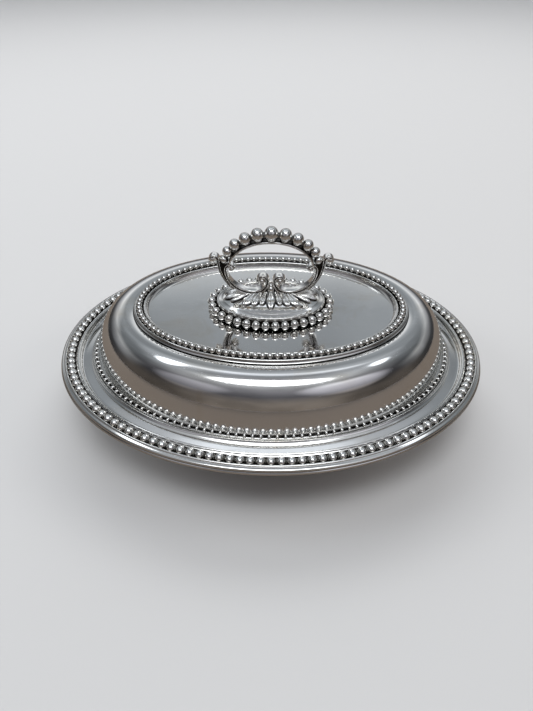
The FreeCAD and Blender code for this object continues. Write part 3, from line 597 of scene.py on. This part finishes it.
def make_top_border():
    """Stepped border round the panel: an outer and an inner wire with a dark channel, then a cove inwards; the
    channel is darkened as oxide and painted shade under the beads.
    """
    outline = ([(81.3, 72.95), (90.6, 72.95), (91.5, 73.85)]
               + bulge((91.42, 74.15), (90.35, 75.35), 2.0, -1, 7)
               + arc(89.65, 75.45, 0.68, 0, 170, 10)
               + [(88.95, 75.1), (88.2, 74.95), (85.8, 74.95), (84.6, 75.0)]
               + arc(83.85, 75.75, 0.62, -30, 185, 10)
               + [(83.2, 75.5)]
               + bulge((82.9, 75.1), (81.35, 73.0), 5.5, -1, 8))
    # Oxide and painted shade in the channel, and painted shade where the border meets the dome and inside the
    # outer wire.
    dark = shade(outline, (84.2, 89.1, 74, 75.3, 1.0), (91.3, 91.7, 73, 74.2, 0.9), (90.1, 90.6, 75.0, 75.4, 0.6))
    shape = Shape()
    shape.ring(outline, dark)
    cast_piece("lid_top_border", shape, "lid", 50)


# ---------------------------------------------------------------------------------------------------------
# Handle foot
# ---------------------------------------------------------------------------------------------------------

# The foot's domed plate: semi-axes, height of its edge and rise of its middle.
PLATE_LONG, PLATE_SHORT, PLATE_LOW, PLATE_RISE = 31.5, 18.4, 80.6, 3.2
# Rings of the foot as (short semi-axis, height, darkening): the sloping edge and, past its wire, the ledge that
# carries the beads and the hollow underside, which are darkened with painted shade and oxide.
EDGE_STEPS = ((18.5, 80.55, 0.5), (18.75, 80.42, 0.1), (19.6, 80.05, 0.0), (20.5, 79.7, 0.0), (21.3, 79.5, 0.2),
              (21.55, 79.42, 0.7))
LEDGE_STEPS = ((22.7, 78.6, 0.6), (22.9, 77.4, 1.0), (23.3, 76.5, 1.0), (25.6, 76.3, 1.0), (25.9, 76.1, 0.9),
               (26.0, 75.8, 0.6), (25.9, 75.3, 0.2), (25.5, 75.2, 0.1), (22.0, 75.2, 0.3), (21.6, 76.0, 0.7),
               (20.6, 78.3, 1.0))
# The round boss that passes into the lid's keyhole: radius and the heights of its rings.
BOSS, BOSS_HEIGHTS = 7.5, (80.2, 78.0, 75.0, 73.6, 73.3)


def plate_height(across, along):
    reach = math.hypot(across / PLATE_LONG, along / PLATE_SHORT)
    return PLATE_LOW + PLATE_RISE * max(0.0, 1 - reach ** 2.7)


def side_dark(normals, along):
    """Oxide with painted shade where a bead of the handle's foot faces its neighbours; its underside is bright."""
    return smooth_step(0.86, 0.99, np.abs(normals @ along)) * 0.75


def make_handle_foot():
    rings = []
    oxide_and_painted_shade = []

    def step(long_axis, short_axis, up, dark):
        rings.append(oval_ring(long_axis, short_axis, up, FOOT_AROUND))
        oxide_and_painted_shade.append(dark)

    for share in (0.02, 0.15, 0.3, 0.5, 0.65, 0.78, 0.88, 0.96, 1.0):
        step(PLATE_LONG * share, PLATE_SHORT * share, plate_height(PLATE_LONG * share, 0), 0.0)
    for short, up, dark in EDGE_STEPS:
        step(short + PLATE_LONG - PLATE_SHORT, short, up, dark)
    for short, up in arc(22.1, 79.4, 0.5, 160, -50, 9):
        step(short + FOOT_OFFSET, short, up, 0.0)
    for short, up, dark in LEDGE_STEPS:
        step(short + FOOT_OFFSET, short, up, dark)
    # The hollow underside and the boss are painted dark as shade.
    for share in (0.8, 0.6, 0.45):
        step(33 * share, 21 * share, 79.0 + 3.2 * (1 - share), 1.0)
    for up in BOSS_HEIGHTS:
        step(BOSS, BOSS, up, 0.8)
    step(0.2, 0.2, BOSS_HEIGHTS[-1], 0.8)
    shape = Shape()
    shape.loft(rings, np.repeat(np.asarray(oxide_and_painted_shade)[:, None], FOOT_AROUND, axis=1))
    cast_piece("handle_foot", shape, "handle", 45)


# ---------------------------------------------------------------------------------------------------------
# Handle loop
# ---------------------------------------------------------------------------------------------------------

# Height of the arch's centre.
ARCH_CENTRE = 92.1
# Angles from the top of the arch, half widths of the beads along it and the distance of their centres.
ARCH_BEADS = ((0, 4.35, 34.6), (14.1, 4.0, 34.8), (27.2, 3.7, 35.0), (39.3, 3.4, 35.2),
              (50.2, 3.1, 35.1), (60.2, 2.45, 33.9))
# The band's lower and upper radius at angles from its top.
BAND_ANGLES = (0, 15, 30, 40, 50, 56, 62, 66)
BAND_LOW = (29.5, 29.8, 30.3, 30.6, 30.6, 30.1, 29.3, 28.6)
BAND_HIGH = (31.1, 31.4, 31.9, 32.0, 32.0, 31.5, 30.7, 30.0)
# Half of the band's section, from the middle of its top to the middle of its underside: along Y, outwards,
# darkening, which is painted shade and oxide on the top under the beads.
BAND_SECTION = ((2.3, 0.3, 1.0), (2.9, 0.45, 0.8), (3.25, 0.3, 0.1), (3.45, -0.05, 0.0), (3.4, -0.45, 0.0),
                (3.05, -0.72, 0.0), (2.2, -0.65, 0.0), (0.0, -0.45, 0.0))
# Each arm's two strands. Paths are arcs of (across, up, radius, start angle, end angle, side of the normals);
# half thickness and half width are given at shares of the path.
SCROLL_PATH = ((-5.4, 94.3, 3.2, 200, 0, 1), (-11.2, 94.4, 9.0, 360, 270, 1), (-11.2, 102.9, 17.5, 270, 180, 1),
               (-25.8, 102.9, 2.9, 180, 10, 1))
SCROLL_THICK = ((0, 0.7), (0.1, 1.15), (0.22, 1.3), (0.34, 1.75), (0.5, 1.85), (0.62, 1.5), (0.75, 1.05),
                (0.93, 1.0), (1, 0.7))
SCROLL_WIDE = ((0, 2.2), (0.1, 2.6), (0.3, 2.8), (0.9, 2.7), (1, 2.3))
BRANCH_PATH = ((-3.6, 109.6, 29.6, 226, 180, 1), (-35.6, 109.6, 2.4, 0, 215, -1))
BRANCH_THICK = ((0, 0.6), (0.3, 0.7), (0.6, 0.95), (0.85, 1.15), (1, 1.0))
BRANCH_WIDE = ((0, 2.3), (0.3, 2.5), (0.8, 2.6), (1, 2.4))
# Balls in the curls and the small tips beside them: across, up, radius, half width, points round.
CURLS = ((-5.8, 93.8, 2.3, 3.1, 40), (-24.9, 103.2, 2.0, 3.0, 40), (-36.6, 109.6, 2.5, 3.1, 40),
         (-8.1, 96.0, 1.0, 2.6, 28), (-22.9, 105.0, 0.9, 2.6, 28))


def strand_section(half_thick, half_wide, groove):
    """Cross-section of a strand: (along the normal, along Y), two round ridges with a groove between them."""
    ridge = half_thick * 0.6
    quarter = [(half_thick, 0.0), (half_thick, half_wide * 0.4), (half_thick * 0.97, half_wide - 1.05)]
    for turn in np.radians(np.linspace(12, 165, 10)):
        quarter.append((ridge + (half_thick - ridge) * math.cos(turn), half_wide - 0.8 + 0.8 * math.sin(turn)))
    quarter += [(ridge * 0.22, half_wide - groove * 0.92), (0.0, half_wide - groove)]
    top = quarter + [(-u, v) for u, v in quarter[-2::-1]]
    return np.asarray(top + [(u, -v) for u, v in top[-2:0:-1]])


def section_dark(section, half_thick, half_wide, groove):
    depth = half_wide - np.abs(section[:, 1])
    return np.where((np.abs(section[:, 0]) < half_thick * 0.3) & (depth > groove * 0.55)
                    & (depth < groove * 1.05), 1.0, 0.0)


def add_strand(shape, points, normals, thick, wide, groove, mirror):
    """Carry the grooved section along a path in the XZ plane."""
    rings, dark = [], []
    for (x, z), (nx, nz), half_thick, half_wide in zip(points, normals, thick, wide):
        section = strand_section(half_thick, half_wide, groove)
        ring = np.stack([(x + section[:, 0] * nx) * mirror, section[:, 1], z + section[:, 0] * nz], axis=-1)
        rings.append(ring if mirror > 0 else ring[::-1])
        row = section_dark(section, half_thick, half_wide, groove)
        dark.append(row if mirror > 0 else row[::-1])
    shape.loft(rings[::-1], np.asarray(dark[::-1]))


def continuous(arcs):
    """One path through a run of arcs that alternate in side: normals keep to the same side of the path."""
    points, normals = [], []
    for across, up, radius, start, end, side in arcs:
        steps = max(int(abs(math.radians(end - start)) * radius / 0.35), 6)
        for angle in np.radians(np.linspace(start, end, steps + 1)):
            points.append((across + radius * math.cos(angle), up + radius * math.sin(angle)))
            normals.append((math.cos(angle) * side, math.sin(angle) * side))
    return np.asarray(points), np.asarray(normals)


def taper(points, stops):
    """Values along a path from (share of its length, value) stops."""
    length = np.concatenate([[0], np.cumsum(np.hypot(*np.diff(points, axis=0).T))])
    return np.interp(length / length[-1], [stop[0] for stop in stops], [stop[1] for stop in stops])


def web_edges(up):
    """The web's inner and outer edge at a height, which follow the scroll and the branch."""
    scroll_across, scroll_up, scroll_radius = SCROLL_PATH[2][:3]
    branch_across, branch_up, branch_radius = BRANCH_PATH[0][:3]
    drop = min(1.0, max(0.0, (scroll_up - up) / scroll_radius))
    inner = scroll_across - scroll_radius * math.sqrt(1 - drop * drop)
    outer = branch_across - branch_radius * math.sqrt(1 - ((branch_up - up) / branch_radius) ** 2)
    return inner, min(outer, inner - 0.1)


def make_scroll(name, mirror):
    """One arm: a C-scroll, the branch that splits off its outer side, their curls and the web between."""
    shape = Shape()
    for path, half_thick, half_wide, groove in ((SCROLL_PATH, SCROLL_THICK, SCROLL_WIDE, 0.95),
                                                (BRANCH_PATH, BRANCH_THICK, BRANCH_WIDE, 0.6)):
        points, normals = continuous(path)
        add_strand(shape, points, normals, taper(points, half_thick), taper(points, half_wide), groove, mirror)
    for across, up, radius, half, segments in CURLS:
        shape.ball((across * mirror, 0, up), (radius, half, radius), segments, "y")
    # The web between the strands is painted almost black: painted shade and oxide in the deep recess.
    rings = []
    for up in np.linspace(89.6, 109.5, 24):
        inner, outer = web_edges(up)
        rings.append([(inner * mirror, -1.0, up), (outer * mirror, -1.0, up),
                      (outer * mirror, 1.0, up), (inner * mirror, 1.0, up)][::mirror])
    shape.loft(rings, 0.97)
    cast_piece(name, shape, "handle", 50)


def arch_place(angle, reach):
    """The point at an angle from the arch's top and a distance from its centre, and the way outwards there."""
    turn = math.radians(angle)
    out = np.array([math.sin(turn), 0.0, math.cos(turn)])
    return out * reach + (0, 0, ARCH_CENTRE), out


def make_arch():
    """Thin band under the graduated beads, a little deeper at its rounded front and back edges."""
    loop = list(BAND_SECTION) + [(-across, up, dark) for across, up, dark in BAND_SECTION[-2::-1]]
    loop.append((0.0, 0.5, 0.9))
    rings = []
    for angle in np.linspace(65, -65, 181):
        low = np.interp(abs(angle), BAND_ANGLES, BAND_LOW)
        high = np.interp(abs(angle), BAND_ANGLES, BAND_HIGH)
        middle, half = (low + high) / 2, (high - low) / 2
        ring = []
        for across, up, _ in loop:
            centre, _ = arch_place(angle, middle + up * half * 1.4)
            ring.append(centre + (0, across, 0))
        rings.append(ring)
    shape = Shape()
    shape.loft(rings, np.asarray([dark for _, _, dark in loop]))
    cast_piece("handle_arch", shape, "handle", 45)


def make_arch_beads():
    """Graduated egg-shaped beads, largest at the top, with a small dark reel in each gap; the beads get painted
    shade where they sit on the band, and oxide with painted shade where they face each other.
    """
    shape = Shape()
    row = sorted({(side * angle, half, reach) for angle, half, reach in ARCH_BEADS for side in (-1, 1)})
    for angle, half, reach in row:
        centre, out = arch_place(angle, reach)
        along = np.array([out[2], 0.0, -out[0]])

        def dark(normals, out=out, along=along):
            # Painted shade where the bead sits on the band, and oxide with painted shade towards its neighbours.
            seat = 1.0 - smooth_step(-0.95, -0.7, normals @ out)
            return np.maximum(seat, smooth_step(0.86, 0.99, np.abs(normals @ along)))

        shape.ball(centre, (half, half * 1.12, half * 1.12), 56, oxide_and_painted_shade=dark, frame_axes=(along, (0, 1, 0), out))
    for (angle, half, reach), (next_angle, next_half, next_reach) in zip(row, row[1:]):
        share = half / (half + next_half)
        centre, out = arch_place(angle + (next_angle - angle) * share, reach + (next_reach - reach) * share - 0.7)
        shape.ball(centre, 0.5 * min(half, next_half), 24, oxide_and_painted_shade=lambda normals: np.full(len(normals), 0.8))
    cast_piece("handle_arch_beads", shape, "handle", 60)


# ---------------------------------------------------------------------------------------------------------
# Leaves
# ---------------------------------------------------------------------------------------------------------

# Leaflets: root across and along, tip across and along, half width, its share at the root, how pointed, lift.
# The middle one stands alone and the others come in mirrored pairs.
SPRAY = (
    (-16.0, -2.0, -31.2, -3.2, 1.7, 0.5, 0.6, 1.2),
    (-15.0, -2.6, -26.4, -7.4, 1.8, 0.5, 0.6, 1.3),
    (-11.2, -2.8, -17.4, -12.2, 3.1, 0.6, 0.6, 1.6),
    (-7.2, -2.8, -11.6, -13.0, 2.7, 0.6, 0.6, 1.9),
    (-3.6, -2.6, -6.2, -12.9, 2.3, 0.6, 0.6, 2.3),
    (0.0, -2.0, 0.0, -16.2, 3.0, 0.35, 0.75, 3.4),
)
SIDE_LEAFLET = (-16.0, 0.9, -30.0, 1.2, 1.3, 0.6, 0.6, 0.8)


def add_leaflet(shape, leaflet, mirror, flip):
    """One lobe: a crowned blade with a hollow along its midrib, two side veins and a tip that turns down."""
    x0, y0, x1, y1, half_wide, waist, pointed, lift = leaflet
    root, tip = np.array([x0, y0]), np.array([x1, y1])
    run = tip - root
    length = np.hypot(*run)
    along = run / length
    side = np.array([-along[1], along[0]])
    rings, dark = [], []
    across = np.linspace(-1, 1, 25)
    for s in np.concatenate([np.linspace(0, 0.9, 26), 1 - 0.1 * np.linspace(1, 0, 9)[1:] ** 2]):
        if s < 0.62:
            width = half_wide * (waist + (1 - waist) * math.sin(math.pi / 2 * s / 0.62) ** 2)
        else:
            t = (s - 0.62) / 0.38
            width = half_wide * max(1 - t ** (2.6 - 1.4 * pointed), 0.0) ** (0.5 + 0.25 * pointed)
        width = max(width, 0.06)
        centre = root + run * s
        base = plate_height(*centre)
        rise = lift * (1 - s) ** 1.3 + 0.95 + 0.55 * math.sin(math.pi * min(s, 1.0) ** 2)
        rise *= 1 - smooth_step(0.9, 1.02, s) * 0.75
        crown = rise - 0.75 * np.abs(across) ** 2.4
        crown = crown - 0.6 * np.exp(-(across / 0.12) ** 2) * (1 - s ** 4)
        crown = crown + 0.3 * np.cos(across * math.pi * 3) * (1 - np.abs(across)) * min(s * 3, 1)
        top = [(centre + side * width * a, base + max(c, 0.05)) for a, c in zip(across, crown)]
        bottom = [(centre + side * width * a, base - 0.8) for a in across[::-4]]
        loop = [(x * mirror, y * flip, z) for (x, y), z in top + bottom]
        turned = mirror * flip < 0
        # Oxide in the hollow along the midrib, and painted shade at the edges and on the underside.
        value = [0.85 * float(np.exp(-(a / 0.1) ** 2)) * (1 - s) + 0.9 * smooth_step(0.8, 1.0, abs(a))
                 for a in across] + [1.0] * len(bottom)
        rings.append(loop[::-1] if turned else loop)
        dark.append(value[::-1] if turned else value)
    shape.loft(rings, np.asarray(dark))


def make_leaf(name, flip):
    """The front (flip 1) or back (flip -1) spray, with a bud where its lobes meet."""
    shape = Shape()
    for leaflet in SPRAY:
        for mirror in ((1,) if leaflet[0] == 0 else (-1, 1)):
            add_leaflet(shape, leaflet, mirror, flip)
    shape.ball((0.0, -1.6 * flip, 87.0), (2.3, 2.0, 3.0), 32)
    cast_piece(name, shape, "handle", 60)


def make_side_leaf(name, mirror):
    shape = Shape()
    for flip in (-1, 1):
        add_leaflet(shape, SIDE_LEAFLET, mirror, flip)
    cast_piece(name, shape, "handle", 60)


# ---------------------------------------------------------------------------------------------------------
# Studio
# ---------------------------------------------------------------------------------------------------------


FLOOR_COLOUR, CARD_COLOUR = (0.62, 0.61, 0.60), (0.17, 0.137, 0.11)
# Area lights: name, place, width, height, power and colour. All aim at the object.
LIGHT_TARGET = (0, 0, 0.05)
SOFTBOXES = (("ceiling_softbox", (0.05, -0.22, 1.5), 1.0, 0.6, 3, (1.0, 1.0, 1.0)),
             ("back_softbox", (0.0, 1.35, 1.35), 2.2, 0.7, 17, (0.96, 0.98, 1.0)),
             ("left_softbox", (-1.5, 0.2, 0.9), 0.9, 0.9, 8, (0.93, 0.97, 1.0)),
             ("right_softbox", (1.6, 0.1, 1.0), 0.7, 0.7, 5, (1.0, 0.97, 0.92)))
# The studio's soft surroundings, as elevation in degrees and colour: in front of the object and beyond it.
FRONT_SKY = ((-2, (0.18, 0.155, 0.135)), (12, (0.17, 0.15, 0.135)), (26, (0.085, 0.085, 0.095)),
             (42, (0.18, 0.18, 0.20)), (56, (0.33, 0.34, 0.36)), (70, (0.54, 0.56, 0.58)),
             (90, (0.34, 0.35, 0.37)))
BACK_SKY = ((-2, (0.09, 0.085, 0.085)), (9, (0.11, 0.115, 0.125)), (20, (0.55, 0.57, 0.61)),
            (27, (0.80, 0.83, 0.86)), (35, (0.28, 0.305, 0.33)), (46, (0.26, 0.285, 0.31)),
            (58, (0.46, 0.49, 0.53)), (74, (0.27, 0.29, 0.32)), (90, (0.30, 0.31, 0.33)))
# Soft lamps: elevation, compass angle from +X, half width, half height and gain over the surroundings.
LAMPS = ((77, -90, 0.34, 0.22, 8.0), (65, 90, 0.34, 0.10, 1.2), (60, 145, 0.20, 0.08, 4.0),
         (58, 25, 0.14, 0.07, 3.0), (36, -46, 0.40, 0.30, 2.6), (34, -136, 0.34, 0.26, 1.2))
# The camera: sensor height and lens in millimetres, place in metres, and its turns.
SENSOR_HEIGHT, LENS = 36.0, 27.04
CAMERA_PLACE = (0.0009, -0.2908, 0.2836)
PITCH, YAW, ROLL = (math.radians(angle) for angle in (41.14, -0.72, 0.16))


def stage_plane(name, half, up, colour):
    mesh = bpy.data.meshes.new(name)
    mesh.from_pydata([(-half, -half, up), (half, -half, up), (half, half, up), (-half, half, up)], [],
                     [(0, 1, 2, 3)])
    plane = bpy.data.objects.new(name, mesh)
    bpy.context.scene.collection.objects.link(plane)
    material = bpy.data.materials.new(name)
    material.use_nodes = True
    shader = material.node_tree.nodes["Principled BSDF"]
    shader.inputs["Base Color"].default_value = (*colour, 1)
    shader.inputs["Roughness"].default_value = 0.65
    mesh.materials.append(material)
    return plane


def make_floor():
    """A plain pale floor, and a warm card just above it that only the metal's reflections see."""
    low = cad_box[0][2]
    stage_plane("floor", 6.0, low - 0.0004, FLOOR_COLOUR)
    card = stage_plane("table_card", 5.0, low - 0.0002, CARD_COLOUR)
    card.visible_camera = False
    card.visible_diffuse = False
    card.visible_shadow = False
    card.visible_transmission = False


def area_light(name, place, wide, tall, power, colour):
    """A soft light for the floor and its shadows; the metal reflects the surroundings instead."""
    light = bpy.data.lights.new(name, "AREA")
    light.shape = "RECTANGLE"
    light.size, light.size_y = wide, tall
    light.energy = power
    light.color = colour
    thing = bpy.data.objects.new(name, light)
    bpy.context.scene.collection.objects.link(thing)
    thing.location = place
    thing.rotation_euler = (Vector(LIGHT_TARGET) - Vector(place)).to_track_quat("-Z", "Y").to_euler()
    thing.visible_glossy = False


def sky_ramp(tree, elevation, stops):
    """Colours by elevation, which comes as 0 straight down to 1 straight up."""
    node = tree.new("ShaderNodeValToRGB")
    tree.link(elevation, node.inputs["Fac"])
    elements = node.color_ramp.elements
    while len(elements) < len(stops):
        elements.new(0.5)
    for element, (degrees, colour) in zip(elements, stops):
        element.position = degrees / 180 + 0.5
        element.color = (*colour, 1)
    return node.outputs["Color"]


def soft_lamp(tree, direction, up, turn, wide, tall, gain):
    """A soft-edged oval patch of the surroundings that is brighter by its gain."""
    up, turn = math.radians(up), math.radians(turn)
    centre = (math.cos(up) * math.cos(turn), math.cos(up) * math.sin(turn), math.sin(up))
    level = (-math.sin(turn), math.cos(turn), 0.0)
    steep = (-math.sin(up) * math.cos(turn), -math.sin(up) * math.sin(turn), math.cos(up))
    across, along, ahead = (tree.dot(direction, axis) for axis in (level, steep, centre))
    across = tree.math("POWER", tree.math("ABSOLUTE", tree.math("DIVIDE", across, wide)), 2.0)
    along = tree.math("POWER", tree.math("ABSOLUTE", tree.math("DIVIDE", along, tall)), 2.0)
    patch = tree.span(tree.math("ADD", across, along), 0.35, 1.3, gain, 0.0)
    return tree.math("MULTIPLY", patch, tree.span(ahead, 0.0, 0.1))


def make_world():
    """The two skies, blended from front to back, a little uneven, dimmer at the sides, and the soft lamps."""
    world = bpy.data.worlds.new("studio")
    world.use_nodes = True
    bpy.context.scene.world = world
    tree = Nodes(world.node_tree)
    background = world.node_tree.nodes["Background"]
    direction = tree.new("ShaderNodeTexCoord").outputs["Generated"]
    split = tree.new("ShaderNodeSeparateXYZ")
    tree.link(direction, split.inputs[0])
    elevation = tree.math("MULTIPLY_ADD", tree.math("ARCSINE", split.outputs["Z"]), 1 / math.pi, 0.5)
    skies = [sky_ramp(tree, elevation, stops) for stops in (FRONT_SKY, BACK_SKY)]
    tree.link(tree.mix(tree.span(split.outputs["Y"], -0.3, 0.25), *skies), background.inputs["Color"])
    strength = tree.span(tree.noise(direction, 2.6, 2.0, 0.5), 0.3, 0.7, 0.8, 1.2)
    sides = tree.span(tree.math("ABSOLUTE", split.outputs["X"]), 0.35, 0.85, 1.0, 0.4)
    strength = tree.math("MULTIPLY", strength, sides)
    for lamp in LAMPS:
        strength = tree.math("ADD", strength, soft_lamp(tree, direction, *lamp))
    tree.link(strength, background.inputs["Strength"])


def make_camera():
    camera = bpy.data.cameras.new("camera")
    camera.sensor_fit = "VERTICAL"
    camera.sensor_height = SENSOR_HEIGHT
    camera.lens = LENS
    camera.clip_start = 0.01
    thing = bpy.data.objects.new("camera", camera)
    bpy.context.scene.collection.objects.link(thing)
    forward = np.array([math.sin(YAW) * math.cos(PITCH), math.cos(YAW) * math.cos(PITCH), -math.sin(PITCH)])
    right = np.array([math.cos(YAW), -math.sin(YAW), 0.0])
    up = np.cross(right, forward)
    right, up = math.cos(ROLL) * right + math.sin(ROLL) * up, -math.sin(ROLL) * right + math.cos(ROLL) * up
    columns = (right, up, -forward, CAMERA_PLACE)
    thing.matrix_world = Matrix([[float(column[row]) for column in columns] for row in range(3)] + [[0, 0, 0, 1]])
    bpy.context.scene.camera = thing


# ---------------------------------------------------------------------------------------------------------
# Build
# ---------------------------------------------------------------------------------------------------------

bpy.context.scene.view_settings.view_transform = "Standard"
make_camera()
make_world()
make_floor()
for softbox in SOFTBOXES:
    area_light(*softbox)

make_dish_sheet()
make_dish_border()
make_bead_row("dish_border_beads", "dish", (137.9, 137.9 - DISH_OFFSET), (2.55, 2.75, 2.1), 43.55, 132, 0.205, 32,
              (0.3, 2.2, 0.7))
make_dish_edge()
make_lid_shell()
make_lid_foot()
make_bead_row("lid_foot_beads", "lid", (121.0, 121.0 - DISH_OFFSET), (1.15, 1.3, 1.3), 44.2, 138, 0.0, 20)
make_top_border()
make_bead_row("lid_top_beads", "lid", (87.1, 87.1 - DISH_OFFSET), (1.85, 1.95, 1.95), 76.8, 104, 0.0, 24,
              (0.3, 1.5, 0.7))
make_handle_foot()
make_bead_row("handle_foot_beads", "handle", (39.2, 26.3), (2.7, 2.9, 2.95), 76.95, 34, 0.5, 36, dark=side_dark)
make_scroll("handle_scroll_left", 1)
make_scroll("handle_scroll_right", -1)
make_arch()
make_arch_beads()
make_leaf("handle_leaf_front", 1)
make_leaf("handle_leaf_back", -1)
make_side_leaf("handle_leaf_left", 1)
make_side_leaf("handle_leaf_right", -1)

# CAD nodes that are shown as they are.
KEPT = {"lid_locating_collar": POLISHED, "lid_socket_plate": LOCK, "lid_stop_pins": LOCK,
        "handle_stud": LOCK, "handle_lock_bar": LOCK}
for node, material in KEPT.items():
    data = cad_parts[node].data
    data.materials.clear()
    data.materials.append(material)
